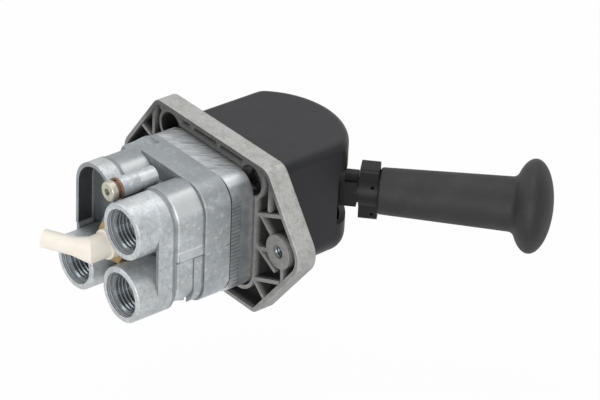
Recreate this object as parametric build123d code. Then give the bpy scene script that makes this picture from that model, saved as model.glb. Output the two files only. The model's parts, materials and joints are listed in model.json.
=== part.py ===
"""Panel mounted parking brake control valve with a pull-and-swing lever.

Lengths are millimetres. The origin is the centre of the flange's front face, midway between its two
M6 holes. +Y runs along the valve axis from the ports towards the hood, +Z is up and +X is the side
on which the lever stands when the brake is released.
"""

import math
import os

from build123d import *

os.makedirs("parts", exist_ok=True)

# Flange
flange_depth = 8.4
flange_skin = 2.4
flange_half_width = 52.3
flange_top = 29.0
flange_top_half = 31.4
flange_bottom = 31.3
flange_bottom_half = 27.3
end_corner_radius = 9.0
top_corner_radius = 5.5
bottom_corner_radius = 3.5
rim_wall = 1.7
rib_wall = 1.4
rib_set_back = 0.3
front_edge_radius = 0.8
rear_edge_radius = 0.4
foot_rib_x = 9.0
head_rib_x = (-11.7, 3.4, 18.3)

# Slanted ribs on the flange's right half. Each starts at a distance from the opening's wall and ends at a
# distance from the fixing boss's centre, and each end has its height from the axis.
slanted_ribs = [
    ((0.0, 8.8), (5.0, 16.2)),
    ((3.0, 9.6), (-4.0, 4.5)),
    ((0.0, -4.6), (-5.0, -2.0)),
    ((0.0, -2.8), (-1.5, -9.0)),
    ((0.0, -17.6), (1.0, -12.3)),
    ((0.0, -17.6), (-5.5, -24.5)),
]
drop_rib = ((2.0, -5.5), (2.5, -16.0))
rise_rib = ((-6.0, 13.2), (-6.0, 25.5))
lobe_rib_end = (-9.0, 27.5)
fixing_spacing = 78.0
fixing_boss_radius = 6.4
fixing_thread_radius = 2.5
skin_opening_radius = 12.0
lobe_x = 22.8
lobe_z = 21.0
lobe_radius = 5.5

# Valve body
body_half_width = 24.6
body_half_height = 23.2
body_corner_radius = 8.0
body_length = 15.3
opening_gap = 0.6
piston_bore_radius = 14.0
guide_wall = 2.8
scallop_radius = 5.2
scallop_depth = 6.0
scallop_offset = 0.85

# Port housing
gasket_thickness = 0.5
cast_edge = 0.5
lip_half_width = 25.1
lip_top = 24.2
lip_bottom = 23.0
lip_corner_radius = 9.5
lip_length = 11.2
lip_shoulder_length = 2.7
lip_shoulder_step = 0.35
notch_x = -12.2
notch_z = 20.4
notch_length = 4.0
notch_run_out = 4.2
trunk_length = 12.1
skirt_length = 7.1
port_reach = 8.2
pad_length = 2.9
pad_top = -0.3
pad_height = 15.0
pad_step = 0.12
port_x = 13.35
port_z = 12.75
port_boss_radius = 10.4
port_mouth_radius = 8.3
port_mouth_depth = 1.8
port_thread_radius = 7.25
port_thread_depth = 13.2
shroud_radius = 10.9
shroud_foot_z = -4.6
shroud_step = 1.1
skirt_wall = 1.5
trunk_margin = 0.7
trunk_slope_length = 1.3
trunk_bottom = 20.6
trunk_corner_radius = 10.5
web_z = 17.4
side_ledge_z = -0.1
side_ramp_top = 3.6
side_ramp_rise = 0.5
side_recess = 0.45
side_rib_width = 4.2
foot_rib_start_x = 20.2
foot_gusset_width = 2.2
foot_gusset_reach = 7.0
foot_gusset_rise = 2.2
valve_bore_radius = 7.0
valve_bore_wall = 2.6
seat_bore_radius = 5.0
seat_wall = 2.6
delivery_recess_depth = 4.0
gallery_radius = 2.4
gallery_inset = 2.0
gallery_end = 3.0
gallery_end_depth = 6.0
side_gallery_x = 9.0
side_gallery_z = 8.0

# Vent screw on the housing's top
vent_z = 20.9
vent_boss_radius = 3.6
vent_boss_length = 15.1
vent_thread_radius = 1.7
vent_thread_depth = 13.0
vent_washer_radius = 4.0
vent_washer_thickness = 1.0
spring_washer_radius = 3.7
spring_washer_thickness = 1.2
spring_washer_cut = 0.5
vent_head_radius = 3.6
vent_head_height = 2.4
vent_screw_length = 10.0
vent_head_fillet = 0.7
star_hub_radius = 1.17
star_lobe_radius = 0.42
star_lobe_reach = 1.08
star_depth = 1.4

# Hood
hood_half_width = 25.4
hood_end_half_width = 24.6
hood_reach = 45.8
hood_end_radius = 31.5
hood_top = 22.8
hood_bottom = 23.6
hood_corner_radius = 6.5
hood_top_fillet = 3.2
hood_bottom_fillet = 8.5
hood_wall = 2.2
hood_boss_radius = 3.5
hood_boss_length = 12.0
hood_boss_floor = 1.0
hood_screw_x = 20.6
hood_screw_z = 18.9
hood_screw_radius = 1.75
hood_screw_length = 11.0
hood_screw_head_radius = 3.3
hood_screw_head_height = 2.3
hood_screw_head_fillet = 0.9
hood_screw_tip_chamfer = 0.5
cross_reach = 1.6
cross_arm_width = 1.15
cross_depth = 1.2
hood_tab_width = 6.0
hood_tab_x = 11.0
hood_tab_thickness = 1.7
slot_high = 11.5
slot_low = 9.8
slot_near_angle = 70.5
slot_far_angle = -42.0
slot_steps = 6

# Lever
pivot_y = 21.6
lever_angle = 47.0
lever_travel = 73.0
pivot_radius = 4.0
bush_wall = 1.0
hub_radius = 6.5
hub_half_height = 10.5
arm_half_width = 4.8
arm_half_height = 4.9
arm_reach = 30.2
lug_start = 25.6
lug_width = 3.6
lug_offset = -1.4
lug_height = 2.7
tube_radius = 5.0
tube_end = 76.0
rod_bore_radius = 2.2
spring_bore_radius = 3.9
spring_bore_start = 58.0
shield_radius = 19.6
shield_wall = 1.2
shield_half_height = 12.6
shield_half_angle = 85.0

# Handle that slides on the lever
handle_travel = 5.0
collar_start = 31.0
collar_end = 37.8
collar_half_width = 4.0
collar_half_height = 10.4
collar_barrel_radius = 6.4
collar_edge_radius = 1.6
dimple_radius = 0.6
dimple_depth = 1.2
dimple_set_back = 1.9
dimple_heights = (3.8, -7.8)
grip_start = 38.0
grip_root_radius = 8.5
grip_chamfer = 0.6
grip_neck_radius = 10.0
grip_neck_fillet = 2.4
knob_centre = 92.8
knob_radius = 17.05
knob_half_length = 7.6
grip_bore_end = 78.5
rod_thread_radius = 2.1
rod_thread_end = 90.0
rod_radius = 2.0
rod_start = 9.2
rod_start_room = 0.4
rod_end = 88.0
rod_shoulder_radius = 3.7
rod_shoulder_start = 60.0
rod_shoulder_length = 2.0
lock_pin_radius = 1.25
lock_pin_reach = 11.0
lock_pin_low = -6.5
lock_pin_high = 8.8
handle_spring_wire = 0.45
handle_spring_radius = 3.0
handle_spring_turns = 6
end_plug_length = 2.4

# Pivot bracket and gate
bracket_half_width = 21.4
bracket_half_height = 15.0
bracket_plate = 2.5
bracket_corner_radius = 3.0
ear_inner_z = 12.0
ear_half_width = 8.0
plunger_hole_radius = 5.5
gate_low = 6.0
gate_thickness = 2.2
gate_radius = 9.5
gate_notch_depth = 1.4
tongue_half_width = 6.0
circlip_radius = 5.8
circlip_thickness = 0.9
circlip_opening = 3.2
pin_groove_depth = 0.6
pin_overhang = 1.4
pin_chamfer = 0.4
thrust_washer_thickness = 1.3
return_spring_wire = 0.7
return_spring_radius = 8.0
return_spring_turns = 2.75
return_spring_hook = 3.0
return_spring_room = 1.1

# Cam and plunger
cam_high_radius = 11.0
cam_lift = 3.0
cam_half_height = 5.0
cam_lead_angle = 30.0
cam_pin_radius = 1.25
cam_pin_z = 2.5
cam_steps = 12
cam_gap = 0.45
plunger_radius = 4.0
spring_seat_radius = 10.0
spring_seat_thickness = 2.0
spring_seat_front = -8.5
guide_bush_radius = 6.0
guide_bush_length = 5.0

# Piston and inlet valve
piston_front = -14.7
piston_length = 6.0
piston_cup_radius = 11.2
piston_cup_depth = 3.5
piston_stem_radius = 4.0
piston_stem_bore = 2.0
piston_stem_end = -25.6
ring_groove_width = 2.0
ring_groove_depth = 1.4
ring_groove_front = -15.2
ring_section = 0.7
graduating_spring_wire = 1.0
graduating_spring_radius = 9.0
graduating_spring_turns = 3
valve_face = -25.8
valve_disc_radius = 5.8
valve_disc_thickness = 2.5
valve_stem_radius = 2.6
valve_stem_bore = 1.5
valve_stem_end = -41.0
valve_spring_wire = 0.4
valve_spring_radius = 4.2
valve_spring_turns = 4
valve_guide_front = -35.0
valve_guide_length = 3.0
snap_ring_width = 0.9
snap_ring_depth = 0.6
snap_ring_wall = 1.8
snap_ring_opening = 3.0
guide_ring_section = 0.75
guide_groove_width = 1.7

# Exhaust
spigot_head_radius = 7.9
spigot_head_thickness = 2.8
spigot_head_chamfer = 0.7
spigot_shank_length = 7.6
spigot_nozzle_radius = 3.3
spigot_nozzle_length = 6.0
spigot_bore_radius = 2.0
elbow_base_radius = 4.6
elbow_rim_radius = 5.5
elbow_rim_length = 2.6
elbow_taper_length = 6.0
elbow_bend_y = -60.4
elbow_tube_radius = 3.35
elbow_tube_length = 17.6
elbow_turn = 62.6
elbow_bore_radius = 2.1
elbow_bend_radius = 4.6

# Clamping screws
clamp_x = 17.2
clamp_z = 9.0
clamp_radius = 2.5
clamp_hole_radius = 2.75
clamp_head_radius = 4.25
clamp_head_height = 5.0
clamp_key_radius = 2.3
clamp_key_depth = 2.5
clamp_engagement = 10.0
clamp_head_chamfer = 0.4

# Clearances
running_gap = 0.05
thread_gap = 0.03
free_gap = 0.15

# Margins of the modelling itself: how far a cutter passes a face, and how near an edge counts as in a plane
overcut = 1.0
tolerance = 0.01

# Stations along the valve axis, worked out from the lengths above
body_front = -flange_skin
body_rear = body_front - body_length
housing_front = body_rear - gasket_thickness
lip_rear = housing_front - lip_length
trunk_rear = lip_rear - trunk_length
skirt_rear = trunk_rear - skirt_length
port_face = skirt_rear - port_reach
seat_front = housing_front - delivery_recess_depth
seat_rear = seat_front - seat_wall
trunk_half_width = port_x + port_boss_radius + trunk_margin
opening_half_width = body_half_width + opening_gap
opening_half_height = body_half_height + opening_gap
plunger_tip = pivot_y - cam_high_radius - cam_gap
rib_rear = rib_set_back - flange_depth
vent_washer_rear = skirt_rear - vent_washer_thickness
vent_head_front = vent_washer_rear - spring_washer_thickness
vent_head_rear = vent_head_front - vent_head_height


def slab(outline, rear, front):
    """Extrude an outline drawn in X and Z from the station rear to the station front."""
    return extrude(Plane.XZ.offset(-front) * outline, amount=front - rear, dir=(0, -1, 0))


def edges_near(part, axis, place):
    """The edges that lie in the plane at a place along an axis."""
    return part.edges().filter_by_position(axis, place - tolerance, place + tolerance)


def cast_slab(outline, rear, front, radius):
    """A slab whose rear edge is rounded, as on a die casting."""
    part = slab(outline, rear, front)
    return fillet(edges_near(part, Axis.Y, rear), radius)


def rod(radius, rear, front, x=0.0, z=0.0):
    """A cylinder along the valve axis."""
    return slab(Pos(x, z) * Circle(radius), rear, front)


def post(radius, low, high, x=0.0, y=0.0):
    """An upright cylinder."""
    return extrude(Plane.XY.offset(low) * (Pos(x, y) * Circle(radius)), amount=high - low)


def block(x_low, x_high, y_low, y_high, z_low, z_high):
    """A box given by its faces."""
    centre = ((x_low + x_high) / 2, (y_low + y_high) / 2, (z_low + z_high) / 2)
    return Pos(*centre) * Box(x_high - x_low, y_high - y_low, z_high - z_low)


def station(outline, y):
    """An outline drawn in X and Z, placed as a face at a station."""
    return Plane.XZ.offset(-y) * outline


def drill(start, end, radius):
    """A round passage between two points."""
    a = Vector(*start)
    b = Vector(*end)
    return extrude(Plane(origin=a, z_dir=b - a) * Circle(radius), amount=(b - a).length)


def rounded(half_width, half_height, radius):
    """A rectangle with round corners."""
    return RectangleRounded(2 * half_width, 2 * half_height, radius)


def bar_outline(start, end, width):
    """A straight rib seen from behind, between two points."""
    a = Vector(*start)
    b = Vector(*end)
    middle = (a + b) / 2
    turn = math.degrees(math.atan2(b.Y - a.Y, b.X - a.X))
    return Pos(middle.X, middle.Y) * Rot(0, 0, turn) * Rectangle((b - a).length, width)


def spring(wire, radius, turns, length, legs=()):
    """A coil along +Z from the origin, wire being half the wire's thickness, with straight legs."""
    path = Helix(pitch=(length - 2 * wire) / turns, height=length - 2 * wire, radius=radius)
    section = Plane(origin=path @ 0, z_dir=path % 0) * Circle(wire)
    coil = sweep(section, path=path, is_frenet=True)
    for end, sign, leg in zip((0, 1), (-1, 1), legs):
        section = Plane(origin=path @ end, z_dir=path % end) * Circle(wire)
        coil += extrude(section, amount=sign * leg)
    return Pos(0, 0, wire) * coil


def along_axis(shape, front):
    """Lay a shape that was made upwards along -Y, starting at the station front."""
    return Pos(0, front, 0) * Rot(90, 0, 0) * shape


def on_lever(shape):
    """Place a shape whose +X runs out along the lever from the pivot."""
    return Pos(0, pivot_y, 0) * Rot(0, 0, 90 - lever_angle) * shape


def out_rod(radius, start, end):
    """A cylinder along the lever in the lever's own frame."""
    return extrude(Plane.YZ.offset(start) * Circle(radius), amount=end - start)


def save(shape, node):
    """Write one node."""
    export_step(shape, f"parts/{node}.step")


# Flange
def flange_outline():
    points = [
        (-flange_top_half, flange_top),
        (flange_top_half, flange_top),
        (flange_half_width, 0),
        (flange_bottom_half, -flange_bottom),
        (-flange_bottom_half, -flange_bottom),
        (-flange_half_width, 0),
    ]
    outline = Polygon(*points, align=None)
    by_height = outline.vertices().sort_by(Axis.Y)
    radii = [bottom_corner_radius, end_corner_radius, top_corner_radius]
    for corners, radius in zip((by_height[0:2], by_height[2:4], by_height[4:6]), radii):
        for corner in corners:
            near = outline.vertices().sort_by_distance(corner)[0]
            outline = fillet(near, radius)
    return outline


def opening_outline(grow):
    """The flange's opening round the valve body, with round lower corners."""
    outline = Rectangle(2 * (opening_half_width + grow), 2 * (opening_half_height + grow))
    return fillet(outline.vertices().sort_by(Axis.Y)[0:2], body_corner_radius + grow)


def flange_ribs():
    """The ribs between the frame wall, the fixing bosses and the rim, as outlines."""
    boss_x = fixing_spacing / 2
    wall_x = opening_half_width + rib_wall / 2
    ends = [((wall_x + a, low), (boss_x + b, high)) for (a, low), (b, high) in slanted_ribs]
    ends += [((boss_x + a, low), (boss_x + b, high)) for (a, low), (b, high) in (drop_rib, rise_rib)]
    ends.append(((lobe_x, lobe_z), (boss_x + lobe_rib_end[0], lobe_rib_end[1])))
    ribs = []
    for side in (-1, 1):
        for start, end in ends:
            ribs.append(bar_outline((side * start[0], start[1]), (side * end[0], end[1]), rib_wall))
        foot_x = side * foot_rib_x
        ribs.append(bar_outline((foot_x, -opening_half_height), (foot_x, -flange_bottom), rib_wall))
    for x in head_rib_x:
        ribs.append(bar_outline((x, opening_half_height), (x, flange_top), rib_wall))
    return ribs


def make_flange():
    part = slab(flange_outline(), -flange_depth, 0)
    part = fillet(edges_near(part, Axis.Y, 0), front_edge_radius)
    part = fillet(edges_near(part, Axis.Y, -flange_depth), rear_edge_radius)
    pocket = offset(flange_outline(), amount=-rim_wall)
    part -= slab(pocket, -flange_depth, body_front)

    walls = slab(opening_outline(rib_wall), rib_rear, body_front)
    for rib in flange_ribs():
        walls += slab(rib, rib_rear, body_front)
    for side in (-1, 1):
        walls += rod(fixing_boss_radius, -flange_depth, body_front, side * fixing_spacing / 2)
        walls += rod(lobe_radius + rib_wall, rib_rear, body_front, side * lobe_x, lobe_z)
    part += walls & slab(offset(flange_outline(), amount=-rim_wall / 2), -flange_depth, body_front)
    part -= slab(opening_outline(0), -flange_depth, body_front)
    part -= rod(skin_opening_radius, body_front, 0)

    for side in (-1, 1):
        part -= rod(lobe_radius, -flange_depth, body_front, side * lobe_x, lobe_z)
        part -= rod(fixing_thread_radius, -flange_depth, 0, side * fixing_spacing / 2)
        part -= rod(hood_screw_radius + free_gap, -flange_skin, 0, side * hood_screw_x, hood_screw_z)
        part -= hood_tab(side, free_gap)
        for z in (-clamp_z, clamp_z):
            part -= rod(clamp_hole_radius, -flange_skin, 0, side * clamp_x, z)
    return part


# Hood
def hood_outline(inset):
    """The hood seen from above, drawn in X and Y."""
    root = hood_half_width - inset
    tip = hood_end_half_width - inset
    sides = Polygon((-root, 0), (root, 0), (tip, hood_reach), (-tip, hood_reach), align=None)
    centre_y = hood_reach - hood_end_radius
    end = Pos(0, centre_y) * Circle(hood_end_radius - inset)
    end += Pos(0, centre_y - hood_reach / 2) * Rectangle(4 * hood_half_width, hood_reach)
    outline = sides & end
    far = outline.vertices().sort_by(Axis.Y)[-2:]
    return fillet(far, hood_corner_radius - inset)


def hood_block(inset):
    low = -hood_bottom + inset
    high = hood_top - inset
    solid = extrude(Plane.XY.offset(low) * hood_outline(inset), amount=high - low)
    for height, radius in ((high, hood_top_fillet), (low, hood_bottom_fillet)):
        edges = [edge for edge in edges_near(solid, Axis.Z, height) if edge.center().Y > tolerance]
        solid = fillet(edges, radius - inset)
    return solid


def hood_tab(side, gap):
    """One of the two tongues that locate the hood's lower edge in the flange."""
    x = side * hood_tab_x
    half = hood_tab_width / 2 + gap
    high = -hood_bottom + hood_wall + gap
    low = high - hood_tab_thickness - 2 * gap
    return block(x - half, x + half, -flange_skin + free_gap - gap, 0, low, high)


def slot_cutter():
    """The sector that the lever sweeps through the hood's curved wall."""
    near = 90 - slot_near_angle
    far = 90 - slot_far_angle
    reach = hood_reach
    points = [(0, 0)]
    for step in range(slot_steps + 1):
        angle = math.radians(near + (far - near) * step / slot_steps)
        points.append((reach * math.cos(angle), reach * math.sin(angle)))
    sector = Polygon(*points, align=None) - Circle(shield_radius - shield_wall)
    prism = extrude(Plane.XY.offset(-slot_low) * sector, amount=slot_low + slot_high)
    return Pos(0, pivot_y, 0) * prism


def make_hood():
    part = hood_block(0) - hood_block(hood_wall)
    for side in (-1, 1):
        boss = rod(hood_boss_radius, 0, hood_boss_length, side * hood_screw_x, hood_screw_z)
        part += boss & hood_block(0)
    part -= slot_cutter()
    for side in (-1, 1):
        hole_end = hood_boss_length - hood_boss_floor
        part -= rod(hood_screw_radius + thread_gap, 0, hole_end, side * hood_screw_x, hood_screw_z)
        part += hood_tab(side, 0)
    return part


def cross_recess():
    """A cross-shaped driver recess cut down from the plane Z = 0."""
    arm = Box(2 * cross_reach, cross_arm_width, 2 * cross_depth)
    return arm + Rot(0, 0, 90) * arm


def make_hood_screws():
    screws = []
    for side in (-1, 1):
        head = Cylinder(hood_screw_head_radius, hood_screw_head_height)
        head = Pos(0, 0, -hood_screw_head_height / 2) * head
        head = fillet(head.edges().sort_by(Axis.Z)[0], hood_screw_head_fillet)
        head -= Pos(0, 0, -hood_screw_head_height) * cross_recess()
        shank = Cylinder(hood_screw_radius, hood_screw_length, align=(Align.CENTER, Align.CENTER, Align.MIN))
        shank = chamfer(shank.edges().sort_by(Axis.Z)[-1], hood_screw_tip_chamfer)
        screws.append(Pos(side * hood_screw_x, -flange_skin, hood_screw_z) * Rot(-90, 0, 0) * (head + shank))
    return Compound(screws)


# Valve body
def clamp_places():
    return [(x, z) for x in (-clamp_x, clamp_x) for z in (-clamp_z, clamp_z)]


def make_valve_body():
    part = slab(rounded(body_half_width, body_half_height, body_corner_radius), body_rear, body_front)
    bore_front = body_front - guide_wall
    part -= rod(piston_bore_radius, body_rear, bore_front)
    part -= rod(guide_bush_radius, bore_front, body_front)
    for side in (-1, 1):
        x = side * (hood_screw_x + scallop_offset)
        part -= rod(scallop_radius, body_front - scallop_depth, body_front, x, hood_screw_z + scallop_offset)
    for x, z in clamp_places():
        part -= rod(clamp_hole_radius, body_rear, body_front, x, z)
    return part


def make_gasket():
    sheet = rounded(body_half_width, body_half_height, body_corner_radius) & lip_outline(lip_shoulder_step)
    part = slab(sheet, housing_front, body_rear) - rod(piston_bore_radius, housing_front, body_rear)
    for x, z in clamp_places():
        part -= rod(clamp_hole_radius, housing_front, body_rear, x, z)
    return part


# Port housing
def obround(x, z_top, z_foot, radius):
    """An arch: a half circle at the top with straight sides down to its foot."""
    arch = Pos(x, z_top) * Circle(radius)
    return arch + Pos(x, (z_top + z_foot) / 2) * Rectangle(2 * radius, z_top - z_foot)


def port_places():
    return [(port_x, port_z), (port_x, -port_z), (-port_x, -port_z)]


def trunk_outline(margin, bottom):
    """The housing behind its lip, seen from behind."""
    half = trunk_half_width - trunk_margin + margin
    outline = Pos(0, (port_z - bottom) / 2) * Rectangle(2 * half, port_z + bottom)
    low = outline.vertices().sort_by(Axis.Y)[0:2]
    outline = fillet(low, trunk_corner_radius)
    outline += Pos(0, web_z / 2) * Rectangle(2 * port_x, web_z)
    outline += Pos(port_x, port_z) * Circle(port_boss_radius + margin)
    outline += Pos(-port_x, port_z) * Circle(shroud_radius - shroud_step + margin)
    return outline


def lip_outline(inset):
    """The lip with its higher top, seen from behind."""
    tall = lip_top + lip_bottom - 2 * inset
    return Pos(0, (lip_top - lip_bottom) / 2) * rounded(lip_half_width - inset, tall / 2, lip_corner_radius)


def make_port_housing():
    lip_front = housing_front - lip_shoulder_length
    part = cast_slab(lip_outline(0), lip_rear, lip_front, cast_edge)
    part += slab(lip_outline(lip_shoulder_step), lip_front, housing_front)
    low = trunk_bottom - trunk_margin
    thick = trunk_outline(trunk_margin, trunk_bottom)
    slope_front = trunk_rear + trunk_slope_length
    part += slab(thick, slope_front, lip_rear)
    part += loft([station(trunk_outline(0, low), trunk_rear), station(thick, slope_front)], ruled=True)

    skirt = trunk_outline(0, low)
    hollow = offset(trunk_outline(0, low), amount=-skirt_wall)
    bosses = Circle(valve_bore_radius + valve_bore_wall)
    for x, z in port_places():
        bosses += Pos(x, z) * Circle(port_boss_radius)
    bosses += Pos(0, vent_z) * Circle(vent_boss_radius)
    arch = obround(-port_x, port_z, shroud_foot_z, shroud_radius)
    arch_room = obround(-port_x, port_z, shroud_foot_z, shroud_radius - skirt_wall)
    part += slab((skirt - hollow) + arch, skirt_rear, trunk_rear)
    part -= slab(arch_room, skirt_rear, trunk_rear)
    part += slab(bosses, skirt_rear, trunk_rear)
    vent_boss = Pos(0, vent_z) * Circle(vent_boss_radius)
    vent_boss += Pos(0, (vent_z + web_z) / 2) * Rectangle(2 * skirt_wall, vent_z - web_z)
    part += slab(vent_boss, trunk_rear, skirt_rear + vent_boss_length)
    for x, z in port_places():
        part += cast_slab(Pos(x, z) * Circle(port_boss_radius), port_face, skirt_rear, cast_edge)

    notch_left = -lip_half_width - overcut
    notch_front = lip_rear + notch_length
    part -= block(notch_left, notch_x, lip_rear, notch_front, notch_z, notch_z + lip_top)
    run_out = Rot(0, 90, 0) * Cylinder(notch_run_out, 4 * lip_half_width)
    run_out = Pos(0, notch_front, notch_z + notch_run_out) * run_out
    part -= run_out & block(notch_left, notch_x, lip_rear, housing_front, notch_z, lip_top + overcut)

    side = trunk_half_width - side_recess
    ledge_front = lip_rear - side_rib_width
    beyond = trunk_half_width + overcut
    part -= block(side, beyond, slope_front, ledge_front, -trunk_bottom, side_ledge_z)
    part -= block(-beyond, -side, slope_front, lip_rear, -trunk_bottom, side_ledge_z)
    ramp_foot = (trunk_half_width + side_ramp_rise, side_ledge_z)
    ramp = Polygon((trunk_half_width, side_ramp_top), ramp_foot, (trunk_half_width, side_ledge_z), align=None)
    part += slab(ramp, slope_front, lip_rear)
    foot = slab(lip_outline(lip_half_width - trunk_half_width), ledge_front, lip_rear)
    part += foot & block(foot_rib_start_x, beyond, ledge_front, lip_rear, -lip_bottom, -trunk_corner_radius)
    root = (ledge_front - foot_gusset_reach, foot_gusset_rise - trunk_bottom)
    gusset = Polygon(root, (ledge_front, -trunk_corner_radius), (ledge_front, -trunk_bottom), align=None)
    gusset_start = foot_rib_start_x - foot_gusset_width / 2
    part += extrude(Plane.YZ.offset(gusset_start) * gusset, amount=foot_gusset_width)
    pad_start = housing_front - pad_length
    pad_x = lip_half_width - pad_step
    part += block(port_x, pad_x, pad_start, housing_front - free_gap, pad_top - pad_height, pad_top)

    for x, z in port_places():
        part -= rod(port_mouth_radius, port_face, port_face + port_mouth_depth, x, z)
        part -= rod(port_thread_radius, port_face, port_face + port_mouth_depth + port_thread_depth, x, z)
    floor_y = port_face + port_mouth_depth + port_thread_depth - overcut
    supply_start = (port_x - gallery_inset, floor_y, port_z - gallery_inset)
    supply_end = (gallery_end, seat_rear - gallery_end_depth, gallery_end)
    part -= drill(supply_start, supply_end, gallery_radius)
    for side in (-1, 1):
        start = (side * (port_x - gallery_inset / 2), floor_y, gallery_inset / 2 - port_z)
        end = (side * side_gallery_x, seat_front + overcut, -side_gallery_z)
        part -= drill(start, end, gallery_radius)

    part -= rod(piston_bore_radius, seat_front, housing_front)
    part -= rod(seat_bore_radius, seat_rear, seat_front)
    part -= rod(valve_bore_radius, skirt_rear, seat_rear)
    groove_front = valve_guide_front - valve_guide_length
    part -= rod(valve_bore_radius + snap_ring_depth, groove_front - snap_ring_width, groove_front)
    part -= rod(vent_thread_radius, skirt_rear, skirt_rear + vent_thread_depth, 0, vent_z)
    for x, z in clamp_places():
        hole_end = housing_front - clamp_engagement - overcut
        part -= rod(clamp_radius + thread_gap, hole_end, housing_front, x, z)
    return part


# Clamping screws
def make_clamp_screws():
    length = bracket_plate - housing_front + clamp_engagement
    head = Cylinder(clamp_head_radius, clamp_head_height, align=(Align.CENTER, Align.CENTER, Align.MIN))
    head = chamfer(head.edges().sort_by(Axis.Z)[-1], clamp_head_chamfer)
    key = extrude(RegularPolygon(clamp_key_radius, 6), amount=-clamp_key_depth)
    head -= Pos(0, 0, clamp_head_height) * key
    shank = Cylinder(clamp_radius, length, align=(Align.CENTER, Align.CENTER, Align.MAX))
    screw = head + shank
    return Compound([Pos(x, bracket_plate, z) * Rot(-90, 0, 0) * screw for x, z in clamp_places()])


# Pivot bracket, gate and pin
def make_bracket():
    part = slab(rounded(bracket_half_width, bracket_half_height, bracket_corner_radius), 0, bracket_plate)
    for side in (-1, 1):
        low, high = sorted((side * ear_inner_z, side * bracket_half_height))
        ear = block(-ear_half_width, ear_half_width, 0, pivot_y, low, high)
        ear += post(ear_half_width, low, high, 0, pivot_y)
        part += ear
    part -= rod(plunger_hole_radius, 0, bracket_plate)
    part -= post(pivot_radius, -bracket_half_height, bracket_half_height, 0, pivot_y)
    for x, z in clamp_places():
        part -= rod(clamp_hole_radius, 0, bracket_plate, x, z)
    return part


def make_gate():
    high = gate_low + gate_thickness
    part = post(gate_radius, gate_low, high, 0, pivot_y)
    part += block(-tongue_half_width, tongue_half_width, bracket_plate, pivot_y, gate_low, high)
    part -= post(hub_radius + 2 * free_gap, gate_low, high, 0, pivot_y)
    parked = math.radians(90 - lever_angle + lever_travel)
    reach = gate_radius + lock_pin_radius - gate_notch_depth
    notch_x = reach * math.cos(parked)
    notch_y = pivot_y + reach * math.sin(parked)
    part -= post(lock_pin_radius + free_gap, gate_low, high, notch_x, notch_y)
    return part


def pin_half_length():
    return bracket_half_height + circlip_thickness + pin_overhang


def make_pivot_pin():
    part = post(pivot_radius, -pin_half_length(), pin_half_length(), 0, pivot_y)
    part = chamfer(part.edges().filter_by(GeomType.CIRCLE), pin_chamfer)
    for side in (-1, 1):
        low, high = sorted((side * bracket_half_height, side * (bracket_half_height + circlip_thickness)))
        ring = post(pivot_radius + overcut, low, high, 0, pivot_y)
        part -= ring - post(pivot_radius - pin_groove_depth, low, high, 0, pivot_y)
    return part


def make_circlips():
    clips = []
    for side in (-1, 1):
        low, high = sorted((side * bracket_half_height, side * (bracket_half_height + circlip_thickness)))
        clip = post(circlip_radius, low, high, 0, pivot_y)
        clip -= post(pivot_radius - pin_groove_depth, low, high, 0, pivot_y)
        clip -= block(-circlip_opening / 2, circlip_opening / 2, pivot_y, pivot_y + circlip_radius, low, high)
        clips.append(clip)
    return Compound(clips)


def make_thrust_washers():
    washers = []
    gap = (ear_inner_z - hub_half_height - thrust_washer_thickness) / 2
    for side in (-1, 1):
        low, high = sorted((side * (hub_half_height + gap), side * (ear_inner_z - gap)))
        washer = post(hub_radius, low, high, 0, pivot_y)
        washers.append(washer - post(pivot_radius + running_gap, low, high, 0, pivot_y))
    return Compound(washers)


def make_return_spring():
    length = hub_half_height - arm_half_height - return_spring_room
    legs = (pivot_y - bracket_plate - 2 * free_gap, return_spring_hook)
    coil = spring(return_spring_wire, return_spring_radius, return_spring_turns, length, legs)
    return Pos(0, pivot_y, 2 * free_gap - hub_half_height) * coil


# Lever
def make_lever_arm():
    part = post(hub_radius, -hub_half_height, hub_half_height)
    part += block(0, arm_reach, -arm_half_width, arm_half_width, -arm_half_height, arm_half_height)
    low = lug_offset - lug_width / 2
    part += block(lug_start, arm_reach, low, low + lug_width, 0, arm_half_height + lug_height)
    part += out_rod(tube_radius, arm_reach - overcut, tube_end)
    part -= out_rod(rod_bore_radius, rod_start - rod_start_room, tube_end)
    part -= out_rod(spring_bore_radius, spring_bore_start, tube_end)
    part -= post(pivot_radius + bush_wall, -hub_half_height, hub_half_height)
    slot_start = lock_pin_reach - lock_pin_radius - free_gap
    slot_end = lock_pin_reach + handle_travel + lock_pin_radius + 2 * free_gap
    half = lock_pin_radius + free_gap
    part -= block(slot_start, slot_end, -half, half, -arm_half_height, arm_half_height)
    for z in (-cam_pin_z, cam_pin_z):
        hole = extrude(Plane.YZ * (Pos(0, z) * Circle(cam_pin_radius)), amount=hub_radius + overcut)
        part -= cam_turn() * hole
    return on_lever(part)


def make_hub_bush():
    part = post(pivot_radius + bush_wall, -hub_half_height, hub_half_height)
    part -= post(pivot_radius + running_gap, -hub_half_height, hub_half_height)
    return on_lever(part)


def make_slot_shield():
    inner = shield_radius - shield_wall
    half = math.radians(shield_half_angle)
    ring = Circle(shield_radius) - Circle(inner)
    reach = 2 * shield_radius
    wedge = Polygon(
        (0, 0),
        (reach * math.cos(half), -reach * math.sin(half)),
        (reach, -reach * math.sin(half)),
        (reach, reach * math.sin(half)),
        (reach * math.cos(half), reach * math.sin(half)),
        align=None,
    )
    part = extrude(Plane.XY.offset(-shield_half_height) * (ring & wedge), amount=2 * shield_half_height)
    width = arm_half_width + running_gap
    height = arm_half_height + running_gap
    part -= block(0, reach, -width, width, -height, height)
    return on_lever(part)


def cam_middle():
    """Direction of the cam's middle in the lever's frame, in degrees."""
    return -90 - lever_travel / 2 - (90 - lever_angle)


def cam_turn():
    return Rot(0, 0, cam_middle())


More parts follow.
